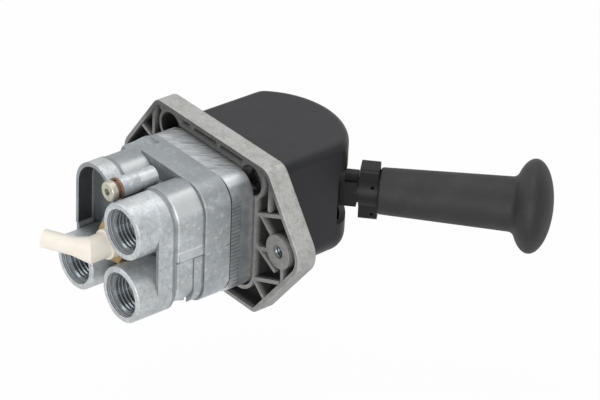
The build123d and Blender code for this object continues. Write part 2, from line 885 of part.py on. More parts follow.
def make_cam():
    """A follower track whose radius falls in proportion to the lever's swing."""
    start = cam_lead_angle + lever_travel / 2
    track = []
    for step in range(cam_steps + 1):
        share = step / cam_steps
        angle = math.radians(lever_travel / 2 - lever_travel * share)
        radius = cam_high_radius - cam_lift * share
        track.append((radius * math.cos(angle), radius * math.sin(angle)))
    lead = math.radians(start)
    low_radius = cam_high_radius - cam_lift
    first = (cam_high_radius * math.cos(lead), cam_high_radius * math.sin(lead))
    last = (low_radius * math.cos(lead), -low_radius * math.sin(lead))
    root_first = (hub_radius * math.cos(lead), hub_radius * math.sin(lead))
    root_last = (hub_radius * math.cos(lead), -hub_radius * math.sin(lead))
    edges = [
        Line(root_first, first),
        RadiusArc(first, track[0], cam_high_radius),
        Spline(*track),
        RadiusArc(track[-1], last, low_radius),
        Line(last, root_last),
        ThreePointArc(root_last, (hub_radius, 0), root_first),
    ]
    face = make_face(edges)
    part = extrude(Plane.XY.offset(-cam_half_height) * face, amount=2 * cam_half_height)
    for z in (-cam_pin_z, cam_pin_z):
        part -= extrude(Plane.YZ * (Pos(0, z) * Circle(cam_pin_radius)), amount=cam_high_radius)
    return on_lever(cam_turn() * part)


def make_cam_pins():
    start = pivot_radius + bush_wall + free_gap
    end = cam_high_radius - cam_lift - free_gap
    pins = []
    for z in (-cam_pin_z, cam_pin_z):
        disc = Plane.YZ.offset(start) * (Pos(0, z) * Circle(cam_pin_radius))
        pins.append(on_lever(cam_turn() * extrude(disc, amount=end - start)))
    return Compound(pins)


# Handle
def make_collar():
    wide, tall = collar_half_width, collar_half_height
    part = block(collar_start, collar_end, -wide, wide, -tall, tall)
    part = fillet(part.edges().filter_by(Axis.X), collar_edge_radius)
    part += out_rod(collar_barrel_radius, collar_start, collar_end)
    part -= out_rod(tube_radius + running_gap, collar_start, collar_end)
    for z in dimple_heights:
        place = Pos(collar_end - dimple_set_back, -collar_barrel_radius, z) * Rot(90, 0, 0)
        part -= place * Cylinder(dimple_radius, 2 * (collar_barrel_radius - collar_half_width + dimple_depth))
    return on_lever(part)


def make_grip():
    mouth = 180 - math.degrees(math.asin(grip_neck_radius / knob_radius))
    knob = EllipticalCenterArc((knob_centre, 0), knob_half_length, knob_radius, arc_size=mouth)
    neck = Polyline(
        knob @ 1,
        (grip_start + grip_chamfer, grip_root_radius),
        (grip_start, grip_root_radius - grip_chamfer),
        (grip_start, 0),
        knob @ 0,
    )
    half = make_face([knob, neck])
    half = fillet(half.vertices().sort_by_distance(knob @ 1)[0], grip_neck_fillet)
    part = revolve(half, axis=Axis.X)
    part -= out_rod(tube_radius + running_gap, grip_start, grip_bore_end)
    part -= out_rod(rod_thread_radius, grip_bore_end, rod_thread_end)
    return on_lever(part)


def make_pull_rod():
    part = out_rod(rod_radius, rod_start, rod_end)
    part += out_rod(rod_shoulder_radius, rod_shoulder_start, rod_shoulder_start + rod_shoulder_length)
    part -= post(lock_pin_radius, -rod_radius, rod_radius, lock_pin_reach, 0)
    return on_lever(part)


def make_lock_pin():
    return on_lever(post(lock_pin_radius, lock_pin_low, lock_pin_high, lock_pin_reach, 0))


def make_handle_spring():
    start = rod_shoulder_start + rod_shoulder_length + free_gap
    length = tube_end - end_plug_length - free_gap - start
    coil = spring(handle_spring_wire, handle_spring_radius, handle_spring_turns, length)
    return on_lever(Pos(start, 0, 0) * Rot(0, 90, 0) * coil)


def make_end_plug():
    part = out_rod(spring_bore_radius, tube_end - end_plug_length, tube_end)
    part -= out_rod(rod_radius + running_gap, tube_end - end_plug_length, tube_end)
    return on_lever(part)


# Plunger, piston and inlet valve
def make_guide_bush():
    rear = body_front - guide_wall
    part = rod(guide_bush_radius, rear, rear + guide_bush_length)
    return part - rod(plunger_radius + running_gap, rear, rear + guide_bush_length)


def make_plunger():
    seat_rear_face = spring_seat_front - spring_seat_thickness
    part = rod(plunger_radius, seat_rear_face, plunger_tip - plunger_radius)
    part += Pos(0, plunger_tip - plunger_radius, 0) * Sphere(plunger_radius)
    part += rod(spring_seat_radius, seat_rear_face, spring_seat_front)
    return part


def make_graduating_spring():
    front = spring_seat_front - spring_seat_thickness - free_gap
    rear = piston_front - piston_cup_depth + free_gap
    coil = spring(graduating_spring_wire, graduating_spring_radius, graduating_spring_turns, front - rear)
    return along_axis(coil, front)


def make_piston():
    radius = piston_bore_radius - running_gap
    rear = piston_front - piston_length
    part = rod(radius, rear, piston_front)
    part += rod(piston_stem_radius, piston_stem_end, rear)
    part -= rod(piston_cup_radius, piston_front - piston_cup_depth, piston_front)
    ring = rod(radius + overcut, ring_groove_front - ring_groove_width, ring_groove_front)
    ring -= rod(radius - ring_groove_depth, ring_groove_front - ring_groove_width, ring_groove_front)
    part -= ring
    part -= rod(piston_stem_bore, piston_stem_end, piston_front)
    return part


def ring_seal(outer, section, station):
    """A round-section ring seal about the valve axis."""
    return Pos(0, station, 0) * Rot(90, 0, 0) * Torus(outer - section, section)


def make_piston_ring():
    station = ring_groove_front - ring_groove_width / 2
    return ring_seal(piston_bore_radius - running_gap, ring_section, station)


def make_inlet_valve():
    rear = valve_face - valve_disc_thickness
    part = rod(valve_disc_radius, rear, valve_face)
    part += rod(valve_stem_radius, valve_stem_end, rear)
    return part - rod(valve_stem_bore, valve_stem_end, valve_face)


def make_valve_spring():
    front = valve_face - valve_disc_thickness - free_gap
    length = front - valve_guide_front - free_gap
    return along_axis(spring(valve_spring_wire, valve_spring_radius, valve_spring_turns, length), front)


def make_valve_guide():
    rear = valve_guide_front - valve_guide_length
    part = rod(valve_bore_radius - running_gap, rear, valve_guide_front)
    part -= rod(valve_stem_radius + running_gap, rear, valve_guide_front)
    middle = valve_guide_front - valve_guide_length / 2
    half = guide_groove_width / 2
    groove = rod(valve_bore_radius + overcut, middle - half, middle + half)
    groove -= rod(valve_bore_radius - 2 * guide_ring_section - 2 * running_gap, middle - half, middle + half)
    return part - groove


def make_guide_ring():
    middle = valve_guide_front - valve_guide_length / 2
    return ring_seal(valve_bore_radius - running_gap, guide_ring_section, middle)


def make_snap_ring():
    front = valve_guide_front - valve_guide_length
    part = rod(valve_bore_radius + snap_ring_depth, front - snap_ring_width, front)
    part -= rod(valve_bore_radius + snap_ring_depth - snap_ring_wall, front - snap_ring_width, front)
    half = snap_ring_opening / 2
    return part - block(-half, half, front - snap_ring_width, front, 0, valve_bore_radius + overcut)


# Exhaust
def make_spigot():
    head_rear = skirt_rear - spigot_head_thickness
    part = rod(spigot_head_radius, head_rear, skirt_rear)
    part = chamfer(part.edges().sort_by(Axis.Y)[0], spigot_head_chamfer)
    part += rod(valve_bore_radius - thread_gap, skirt_rear, skirt_rear + spigot_shank_length)
    part += rod(spigot_nozzle_radius, head_rear - spigot_nozzle_length, head_rear)
    return part - rod(spigot_bore_radius, head_rear - spigot_nozzle_length, skirt_rear + spigot_shank_length)


def elbow_bore(radius, start_y, end):
    """A bent round passage from the valve axis to a point."""
    path = FilletPolyline((0, start_y, 0), (0, elbow_bend_y, 0), tuple(end), radius=elbow_bend_radius)
    return sweep(Plane(origin=path @ 0, z_dir=path % 0) * Circle(radius), path=path)


def make_elbow():
    base_front = skirt_rear - spigot_head_thickness
    turn = math.radians(elbow_turn)
    bend = Vector(0, elbow_bend_y, 0)
    out = Vector(-math.sin(turn), -math.cos(turn), 0)
    tip = bend + out * elbow_tube_length
    across = Vector(math.cos(turn / 2), -math.sin(turn / 2), 0)
    mitre_plane = Plane(origin=bend, x_dir=across, z_dir=Vector(0, 0, -1).cross(across))
    mitre = mitre_plane * Ellipse(elbow_base_radius / math.cos(turn / 2), elbow_base_radius)
    base_start = Plane.XZ.offset(-(base_front - elbow_rim_length)) * Circle(elbow_base_radius)
    tube_start = Plane(origin=bend + out * elbow_taper_length, z_dir=out) * Circle(elbow_tube_radius)
    part = rod(elbow_rim_radius, base_front - elbow_rim_length, base_front)
    part += loft([base_start, mitre], ruled=True)
    part += loft([mitre, tube_start], ruled=True)
    part += extrude(tube_start, amount=elbow_tube_length - elbow_taper_length)
    socket_rear = base_front - spigot_nozzle_length - free_gap
    part -= rod(spigot_nozzle_radius, socket_rear, base_front)
    return part - elbow_bore(elbow_bore_radius, base_front - overcut, tip + out)


# Vent screw and its washers
def make_vent_washer():
    part = rod(vent_washer_radius, vent_washer_rear, skirt_rear, 0, vent_z)
    return part - rod(vent_thread_radius + free_gap, vent_washer_rear, skirt_rear, 0, vent_z)


def make_spring_washer():
    part = rod(spring_washer_radius, vent_head_front, vent_washer_rear, 0, vent_z)
    part -= rod(vent_thread_radius + free_gap, vent_head_front, vent_washer_rear, 0, vent_z)
    top = vent_z + spring_washer_radius + overcut
    return part - block(0, spring_washer_cut, vent_head_front, vent_washer_rear, vent_z, top)


def make_vent_screw():
    part = rod(vent_head_radius, vent_head_rear, vent_head_front, 0, vent_z)
    part = fillet(part.edges().sort_by(Axis.Y)[0], vent_head_fillet)
    tip = vent_head_front + vent_screw_length
    part += rod(vent_thread_radius - thread_gap, vent_head_front, tip, 0, vent_z)
    return part - Pos(0, vent_head_rear, vent_z) * Rot(-90, 0, 0) * star_recess()


def star_recess():
    """A six-lobed driver recess about +Z."""
    star = Circle(star_hub_radius)
    for turn in range(0, 360, 60):
        star += Rot(0, 0, turn) * Pos(star_lobe_reach, 0) * Circle(star_lobe_radius)
    return extrude(star, amount=star_depth)


save(make_flange(), "flange")
save(make_hood(), "hood")
save(make_hood_screws(), "hood_screws")
save(make_valve_body(), "valve_body")
save(make_gasket(), "body_gasket")
save(make_port_housing(), "port_housing")
save(make_clamp_screws(), "clamp_screws")
save(make_bracket(), "pivot_bracket")
save(make_gate(), "gate_plate")
save(make_pivot_pin(), "pivot_pin")
save(make_circlips(), "pivot_circlips")
save(make_thrust_washers(), "thrust_washers")
save(make_return_spring(), "return_spring")
save(make_lever_arm(), "lever_arm")
save(make_hub_bush(), "hub_bush")
save(make_slot_shield(), "slot_shield")
save(make_cam(), "control_cam")
save(make_cam_pins(), "cam_pins")
save(make_collar(), "release_collar")
save(make_grip(), "grip")
save(make_pull_rod(), "pull_rod")
save(make_lock_pin(), "lock_pin")
save(make_handle_spring(), "handle_spring")
save(make_end_plug(), "end_plug")
save(make_guide_bush(), "plunger_bush")
save(make_plunger(), "plunger")
save(make_graduating_spring(), "graduating_spring")
save(make_piston(), "graduating_piston")
save(make_piston_ring(), "piston_ring")
save(make_inlet_valve(), "inlet_valve")
save(make_valve_spring(), "valve_spring")
save(make_valve_guide(), "valve_guide")
save(make_guide_ring(), "guide_ring")
save(make_snap_ring(), "snap_ring")
save(make_spigot(), "exhaust_spigot")
save(make_elbow(), "exhaust_elbow")
save(make_vent_screw(), "vent_screw")
save(make_spring_washer(), "spring_washer")
save(make_vent_washer(), "vent_washer")
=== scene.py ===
"""The looks of a panel mounted parking brake control valve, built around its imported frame.

Lengths in the panel's properties are metres. One operator makes the stage, and each of the others
makes like pieces or gives like parts of the frame their finish.
"""

import json
import math

import bmesh
import bpy
from mathutils import Matrix, Vector


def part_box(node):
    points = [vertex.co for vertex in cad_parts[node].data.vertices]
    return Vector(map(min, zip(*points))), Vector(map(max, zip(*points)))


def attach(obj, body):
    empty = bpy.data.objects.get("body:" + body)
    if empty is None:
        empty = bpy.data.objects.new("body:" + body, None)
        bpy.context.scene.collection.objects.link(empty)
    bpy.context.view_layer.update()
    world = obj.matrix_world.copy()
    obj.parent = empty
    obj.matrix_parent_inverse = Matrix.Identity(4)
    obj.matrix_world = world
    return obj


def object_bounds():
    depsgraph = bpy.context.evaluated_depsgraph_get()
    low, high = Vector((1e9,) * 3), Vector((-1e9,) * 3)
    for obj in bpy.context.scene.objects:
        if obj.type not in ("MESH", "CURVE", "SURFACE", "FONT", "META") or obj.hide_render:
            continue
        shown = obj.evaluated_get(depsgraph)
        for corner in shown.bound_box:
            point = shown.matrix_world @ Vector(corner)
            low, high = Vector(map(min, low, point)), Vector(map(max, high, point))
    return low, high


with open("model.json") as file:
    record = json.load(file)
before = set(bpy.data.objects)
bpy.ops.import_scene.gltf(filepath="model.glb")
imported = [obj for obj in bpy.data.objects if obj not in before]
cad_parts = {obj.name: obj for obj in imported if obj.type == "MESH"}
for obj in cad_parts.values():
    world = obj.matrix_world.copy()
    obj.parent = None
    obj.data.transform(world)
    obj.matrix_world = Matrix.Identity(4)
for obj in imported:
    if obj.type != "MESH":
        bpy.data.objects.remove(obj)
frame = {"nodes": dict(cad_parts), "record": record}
cad_low, cad_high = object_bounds()

bl_info = {
    "name": "Brake Valve Looks",
    "version": (1, 1, 0),
    "blender": (4, 5, 0),
    "location": "View3D > Sidebar > Brake Valve",
    "description": "Finishes and fine detail for a parking brake control valve",
    "category": "Object",
}

MM = 0.001

# Axes of round features, across and up from the valve axis
port_across, port_up = 13.35 * MM, 12.75 * MM
port_axes = {
    "supply": (port_across, port_up),
    "delivery": (port_across, -port_up),
    "service": (-port_across, -port_up),
}
hooded_axis = (-port_across, port_up)
vent_axis = (0.0, 20.9 * MM)
lobe_axes = ((-22.8 * MM, 21.0 * MM), (22.8 * MM, 21.0 * MM))
fixing_axes = {"right": (39.0 * MM, 0.0), "left": (-39.0 * MM, 0.0)}

# Nodes whose finish doesn't come from their material slot
outer_nodes = (
    "port_housing",
    "flange",
    "valve_body",
    "hood",
    "lever_arm",
    "release_collar",
    "slot_shield",
    "grip",
    "exhaust_elbow",
    "exhaust_spigot",
    "vent_screw",
    "vent_washer",
    "spring_washer",
    "clamp_screws",
    "hood_screws",
)


class Number:
    """A value on a node's socket, which takes part in arithmetic."""

    def __init__(self, nodes, socket):
        self.nodes = nodes
        self.socket = socket

    def maths(self, operation, *values):
        return self.nodes.add("ShaderNodeMath", {"operation": operation}, *values)

    def __add__(self, other):
        return self.maths("ADD", self, other)

    __radd__ = __add__

    def __sub__(self, other):
        return self.maths("SUBTRACT", self, other)

    def __rsub__(self, other):
        return self.maths("SUBTRACT", other, self)

    def __mul__(self, other):
        return self.maths("MULTIPLY", self, other)

    __rmul__ = __mul__

    def __abs__(self):
        return self.maths("ABSOLUTE", self)

    def larger(self, other):
        return self.maths("MAXIMUM", self, other)

    def waves(self, length, shift):
        """The sine of the value, with a wavelength and a shift of its phase."""
        return self.maths("SINE", self * (2 * math.pi / length) + shift)

    def ramp(self, low, high):
        """0 below low, 1 above high and smooth between."""
        return self.nodes.add("ShaderNodeMapRange", {"interpolation_type": "SMOOTHSTEP"}, self, low, high)

    def between(self, low, high, edge):
        """1 from low to high, with edges that fade over a short way."""
        return self.ramp(low - edge, low) * (1 - self.ramp(high, high + edge))


class Nodes:
    """The nodes of one material or of the world."""

    def __init__(self, tree):
        self.tree = tree

    def add(self, kind, settings, *values, out=None):
        """A node of a kind, with its settings and then the values or links of its sockets in turn."""
        node = self.tree.nodes.new(kind)
        for name, value in settings.items():
            setattr(node, name, value)
        for socket, value in zip([socket for socket in node.inputs if socket.enabled], values):
            self.give(socket, value)
        outputs = [socket for socket in node.outputs if socket.enabled and out in (None, socket.name)]
        return Number(self, outputs[0])

    def give(self, socket, value):
        if isinstance(value, Number):
            self.tree.links.new(value.socket, socket)
        elif value is not None:
            socket.default_value = value

    def rays_seen(self):
        """1 for the rays that see the background: from the camera, off metal and through glass."""
        names = ("Is Camera Ray", "Is Glossy Ray", "Is Transmission Ray")
        camera, glossy, through = [self.add("ShaderNodeLightPath", {}, out=name) for name in names]
        return camera + glossy + through


class Finish(Nodes):
    """One material, with its Principled shader and the nodes that vary it."""

    def __init__(self, name, colour, roughness, metallic=0.0):
        self.material = bpy.data.materials.new(name)
        self.material.use_nodes = True
        super().__init__(self.material.node_tree)
        self.shader = self.tree.nodes["Principled BSDF"]
        self.colour = (*colour, 1)
        self.shader.inputs["Base Color"].default_value = self.colour
        self.shader.inputs["Roughness"].default_value = roughness
        self.shader.inputs["Metallic"].default_value = metallic
        self.place = self.add("ShaderNodeTexCoord", {}, out="Object")
        self.normal = None

    def stretched(self, scale):
        """The object's coordinates, scaled along each axis."""
        return self.add("ShaderNodeMapping", {}, self.place, None, None, scale)

    def noise(self, size, detail=3.0, rough=0.5, place=None):
        """Noise whose blotches are about size metres across."""
        return self.add("ShaderNodeTexNoise", {}, place or self.place, 1 / size, detail, rough)

    def axis(self, name):
        """One of the object's coordinates in metres."""
        return self.add("ShaderNodeSeparateXYZ", {}, self.place, out=name)

    def shine(self, level):
        """How strongly the surface mirrors, the same all over."""
        self.give(self.shader.inputs["Specular IOR Level"], level)

    def normal_part(self, name):
        """The part of the surface's own normal along an axis, from -1 to 1."""
        normal = self.add("ShaderNodeNewGeometry", {}, out="Normal")
        return self.add("ShaderNodeSeparateXYZ", {}, normal, out=name)

    def facing(self, name):
        """How squarely the surface faces along an axis, either way."""
        return abs(self.normal_part(name)).ramp(0.6, 0.8)

    def round_about(self, axis, radius, edge):
        """1 within a radius of a line along the valve axis, with an edge that fades."""
        flat = self.add("ShaderNodeVectorMath", {"operation": "MULTIPLY"}, self.place, (1, 0, 1))
        off = self.add("ShaderNodeVectorMath", {"operation": "DISTANCE"}, flat, (axis[0], 0, axis[1]))
        return 1 - off.ramp(radius, radius + edge)

    def crevice(self, reach, low=0.35, high=0.9):
        """1 deep in a corner or a groove, 0 in the open."""
        settings = {"samples": 8, "only_local": True}
        open_air = self.add("ShaderNodeAmbientOcclusion", settings, None, reach, out="AO")
        return 1 - open_air.ramp(low, high)

    def tint(self, amount, other):
        """Blend the finish's colour towards another by an amount that varies."""
        self.colour = self.add("ShaderNodeMix", {"data_type": "RGBA"}, amount, self.colour, (*other, 1))
        self.give(self.shader.inputs["Base Color"], self.colour)

    def gloss(self, value):
        """Vary the roughness."""
        self.give(self.shader.inputs["Roughness"], value)

    def bump(self, height, depth, strength=1.0):
        """Raise the surface by depth metres where height is 1, on top of earlier bumps."""
        self.normal = self.add("ShaderNodeBump", {}, strength, depth, None, height, self.normal)
        self.give(self.shader.inputs["Normal"], self.normal)


def shade(red, green, blue):
    """A colour as it is seen on a screen, 0 to 255, as the shader's own value."""
    values = [c / 255 for c in (red, green, blue)]
    return tuple(v / 12.92 if v <= 0.04045 else ((v + 0.055) / 1.055) ** 2.4 for v in values)


def darker(colour, share):
    return tuple(c * share for c in colour)


def coat_node(node, finish):
    """Give one of the frame's parts a finish."""
    thing = frame["nodes"][node]
    thing.data.materials.clear()
    thing.data.materials.append(finish.material)


def colour_prop(name, description, *seen):
    return bpy.props.FloatVectorProperty(
        name=name, description=description, default=shade(*seen), size=3, subtype="COLOR", min=0, max=1
    )


def length_prop(name, description, metres):
    return bpy.props.FloatProperty(
        name=name, description=description, default=metres, unit="LENGTH", subtype="DISTANCE", precision=5
    )


def angle_prop(name, description, degrees):
    return bpy.props.FloatProperty(
        name=name, description=description, default=math.radians(degrees), unit="ROTATION", subtype="ANGLE"
    )


def steps_prop(name, description, steps):
    return bpy.props.IntProperty(name=name, description=description, default=steps, min=3)


class StageSettings(bpy.types.PropertyGroup):
    """The floor, the lights and the camera."""

    azimuth: angle_prop("Azimuth", "Turn of the camera about the upright axis", 49.4)
    elevation: angle_prop("Elevation", "Height of the camera above the horizon", 30.9)
    roll: angle_prop("Roll", "Tilt of the camera about its own axis", 2.56)
    distance: length_prop("Distance", "From the camera to its target", 1.19862)
    target_right: length_prop("Target right", "Target right of the flange, as the camera sees it", 0.03241)
    target_up: length_prop("Target up", "Target above the flange, as the camera sees it", 0.00178)
    target_back: length_prop("Target back", "Target behind the flange along the valve axis", 0.00843)
    lens: bpy.props.FloatProperty(name="Lens", description="Focal length in millimetres", default=203.26)
    floor_drop: length_prop("Floor drop", "Floor below the part's lowest point", 0.045)
    floor_colour: colour_prop("Floor colour", "Colour of the paper floor", 236, 236, 236)
    key_power: bpy.props.FloatProperty(name="Key power", description="Top softbox in watts", default=4.0)
    fill_power: bpy.props.FloatProperty(name="Fill power", description="Rear softbox in watts", default=2.2)
    side_power: bpy.props.FloatProperty(name="Side power", description="Side softbox in watts", default=8.5)
    air: bpy.props.FloatProperty(name="Air", description="Strength of the light from all round", default=0.30)


class FinishSettings(bpy.types.PropertyGroup):
    """The colours of the finishes."""

    housing: colour_prop("Housing", "Die-cast port housing", 195, 200, 203)
    # Also the colour of the housing's painted shade
    housing_patches_and_shade: colour_prop("Housing patches", "Dull patches on the port housing", 138, 144, 148)
    flange: colour_prop("Flange", "Blasted flange casting", 182, 181, 178)
    # Also the colour of the painted shade in the flange's pockets and lobe holes
    flange_pockets_and_shade: colour_prop("Flange pockets", "Floors of the flange's pockets", 62, 61, 60)
    block: colour_prop("Block", "Milled valve body", 206, 210, 212)
    # Also the colour of the block's painted shade and painted reflection
    block_marks_and_shade: colour_prop("Block cuts", "Cutter marks on the valve body", 120, 126, 130)
    thread: colour_prop("Threads", "Cut threads", 112, 119, 124)
    cover: colour_prop("Cover", "Painted hood", 21, 22, 28)
    lever: colour_prop("Lever", "Blackened lever and collar", 9, 9, 10)
    grip: colour_prop("Grip", "Moulded grip", 40, 40, 41)
    elbow: colour_prop("Elbow", "Ivory elbow", 236, 229, 218)
    brass: colour_prop("Brass", "Turned brass", 178, 152, 108)
    copper: colour_prop("Copper", "Copper washer", 136, 108, 90)
    steel: colour_prop("Steel", "Zinc plated screws", 190, 187, 174)


class ThreadSettings(bpy.types.PropertyGroup):
    """The cut threads."""

    port_start: length_prop("Port start", "From a port's face to its first turn", 1.5 * MM)
    port_length: length_prop("Port length", "Length of the ports' threads", 13.4 * MM)
    port_radius: length_prop("Port radius", "Radius of the ports' bores", 7.25 * MM)
    port_pitch: length_prop("Port pitch", "Pitch of the ports' threads", 1.5 * MM)
    port_depth: length_prop("Port depth", "Height of the ports' threads", 0.62 * MM)
    port_steps: steps_prop("Port steps", "Steps in a turn of the ports' threads", 40)
    fixing_start: length_prop("Fixing start", "From a boss's face to its first turn", 0.5 * MM)
    fixing_length: length_prop("Fixing length", "Length of the fixing holes' threads", 7.6 * MM)
    fixing_radius: length_prop("Fixing radius", "Radius of the fixing holes", 2.5 * MM)
    fixing_pitch: length_prop("Fixing pitch", "Pitch of the fixing holes' threads", 1.0 * MM)
    fixing_depth: length_prop("Fixing depth", "Height of the fixing holes' threads", 0.38 * MM)
    fixing_steps: steps_prop("Fixing steps", "Steps in a turn of the fixing holes' threads", 28)


def own(group):
    """One group of the scene's settings."""
    return getattr(bpy.context.scene, "brake_valve_" + group)


class BRAKEVALVE_OT_stage(bpy.types.Operator):
    """Make the floor, the lights and the camera"""

    bl_idname = "brakevalve.stage"
    bl_label = "Stage"

    def execute(self, context):
        self.make_floor()
        self.make_world()
        self.make_lights()
        self.make_camera()
        context.scene.view_settings.view_transform = "Standard"
        return {"FINISHED"}

    def make_floor(self):
        bm = bmesh.new()
        bmesh.ops.create_grid(bm, x_segments=1, y_segments=1, size=4)
        bmesh.ops.translate(bm, verts=bm.verts, vec=(0, 0, cad_low.z - own("stage").floor_drop))
        mesh = bpy.data.meshes.new("floor")
        bm.to_mesh(mesh)
        bm.free()
        floor = bpy.data.objects.new("floor", mesh)
        bpy.context.collection.objects.link(floor)
        floor.data.materials.append(self.paper())

    def paper(self):
        """Pale paper that is white to the camera, apart from the part's faint shadow."""
        colour = tuple(own("stage").floor_colour)
        paper = Finish("floor_paper", colour, 0.9)
        paper.shine(0.1)
        paper.tint(paper.noise(20 * MM, 2) * 0.1, darker(colour, 0.95))
        white = paper.add("ShaderNodeEmission", {}, (1, 1, 1, 1), 1)
        shaded = Number(paper, paper.shader.outputs["BSDF"])
        whiteness = paper.rays_seen() * 0.97
        blend = paper.add("ShaderNodeMixShader", {}, whiteness, shaded, white)
        paper.give(paper.tree.nodes["Material Output"].inputs["Surface"], blend)
        return paper.material

    def make_world(self):
        world = bpy.data.worlds.new("studio")
        world.use_nodes = True
        bpy.context.scene.world = world
        sky = Nodes(world.node_tree)
        air = sky.add("ShaderNodeBackground", {}, (0.93, 0.96, 1, 1), own("stage").air)
        white = sky.add("ShaderNodeBackground", {}, (1, 1, 1, 1), 1)
        blend = sky.add("ShaderNodeMixShader", {}, sky.rays_seen(), air, white)
        sky.give(world.node_tree.nodes["World Output"].inputs["Surface"], blend)

    def make_lights(self):
        powers = own("stage")
        lamps = {
            "top_softbox": ((-0.10, 0.10, 0.95), 0.6, powers.key_power),
            "rear_softbox": ((-0.55, -0.75, 0.45), 0.5, powers.fill_power),
            "side_softbox": ((0.85, -0.85, 0.30), 0.5, powers.side_power),
        }
        for name, (place, size, power) in lamps.items():
            lamp = bpy.data.lights.new(name, "AREA")
            lamp.shape = "SQUARE"
            lamp.size = size
            lamp.energy = power
            thing = bpy.data.objects.new(name, lamp)
            thing.location = place
            thing.rotation_euler = (-Vector(place)).to_track_quat("-Z", "Y").to_euler()
            bpy.context.collection.objects.link(thing)

    def make_camera(self):
        view = own("stage")
        turn, rise, roll = view.azimuth, view.elevation, view.roll
        back = Vector((math.sin(turn) * math.cos(rise), -math.cos(turn) * math.cos(rise), math.sin(rise)))
        level = Vector((math.cos(turn), math.sin(turn), 0))
        steep = back.cross(level)
        right = math.cos(roll) * level + math.sin(roll) * steep
        up = math.cos(roll) * steep - math.sin(roll) * level
        target = right * view.target_right + up * view.target_up - Vector((0, view.target_back, 0))
        camera = bpy.data.objects.new("camera", bpy.data.cameras.new("camera"))
        bpy.context.collection.objects.link(camera)
        turned = Matrix((right, up, back)).transposed().to_4x4()
        camera.matrix_world = Matrix.Translation(target + back * view.distance) @ turned
        camera.data.lens = view.lens
        camera.data.sensor_width = 36
        camera.data.clip_start = 0.05
        camera.data.clip_end = 20
        bpy.context.scene.camera = camera


